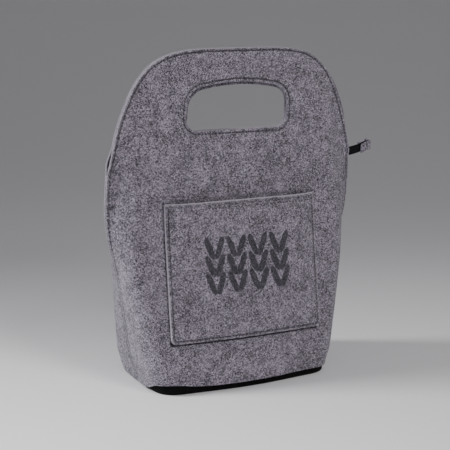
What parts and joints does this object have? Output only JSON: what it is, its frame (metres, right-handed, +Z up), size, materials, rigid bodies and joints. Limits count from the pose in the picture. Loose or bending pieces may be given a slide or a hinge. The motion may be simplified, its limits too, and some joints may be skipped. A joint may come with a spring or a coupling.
{
  "type": "felt knitting bag",
  "caption": "Upright felt bag with arched handles, hand openings, a front patch pocket, a zipped mouth with a folded tail and a black base.",
  "frame": {"origin": "centre of the flat underside of the base, on the surface the bag stands on", "axes": "+Z up; -Y towards the front with the pocket; +X towards the zip's tail"},
  "size_m": [0.3381, 0.1358, 0.372],
  "materials": {
    "felt_outer": "matte mottled grey felt",
    "felt_facing": "matte mottled grey felt",
    "base_cloth": "matte black cloth",
    "base_board": "plain stiffening board",
    "zip_tape": "black woven tape",
    "zip_nylon": "black moulded nylon",
    "zip_metal": "dark enamelled metal"
  },
  "bodies": {
    "bag": {"front_panel": "felt_outer", "rear_panel": "felt_outer", "front_pocket": "felt_outer", "zip_end_tab": "felt_outer", "front_handle_facing": "felt_facing", "rear_handle_facing": "felt_facing", "base_panel": "base_cloth", "base_board": "base_board", "zip_tape_front_left": "zip_tape", "zip_tape_rear_left": "zip_tape", "zip_tape_front_tail": "zip_tape", "zip_tape_rear_tail": "zip_tape", "zip_coil_front_left": "zip_nylon", "zip_coil_rear_left": "zip_nylon", "zip_coil_front_right": "zip_nylon", "zip_coil_rear_right": "zip_nylon", "zip_top_stop_front": "zip_metal", "zip_top_stop_rear": "zip_metal", "zip_bottom_stop": "zip_metal"},
    "zip_front_flap": {"zip_tape_front": "zip_tape", "zip_coil_front": "zip_nylon"},
    "zip_rear_flap": {"zip_tape_rear": "zip_tape", "zip_coil_rear": "zip_nylon"},
    "zip_slider": {"zip_slider_body": "zip_metal", "zip_slider_bail": "zip_metal"},
    "zip_pull": {"zip_pull_tab": "zip_metal"}
  },
  "joints": [
    {"name": "zip_slider_slide", "type": "slide", "parent": "bag", "child": "zip_slider", "axis": [1, 0, 0], "range_m": [0, 0.224]},
    {"name": "zip_pull_hinge", "type": "hinge", "parent": "zip_slider", "child": "zip_pull", "pos_m": [-0.112, 0, 0.2455], "axis": [0, -1, 0], "range_deg": [0, 120]},
    {"name": "zip_front_flap_fold", "type": "hinge", "parent": "bag", "child": "zip_front_flap", "pos_m": [0, -0.01, 0.242], "axis": [-1, 0, 0], "range_deg": [0, 80]},
    {"name": "zip_rear_flap_fold", "type": "hinge", "parent": "bag", "child": "zip_rear_flap", "pos_m": [0, 0.01, 0.242], "axis": [1, 0, 0], "range_deg": [0, 80]}
  ]
}
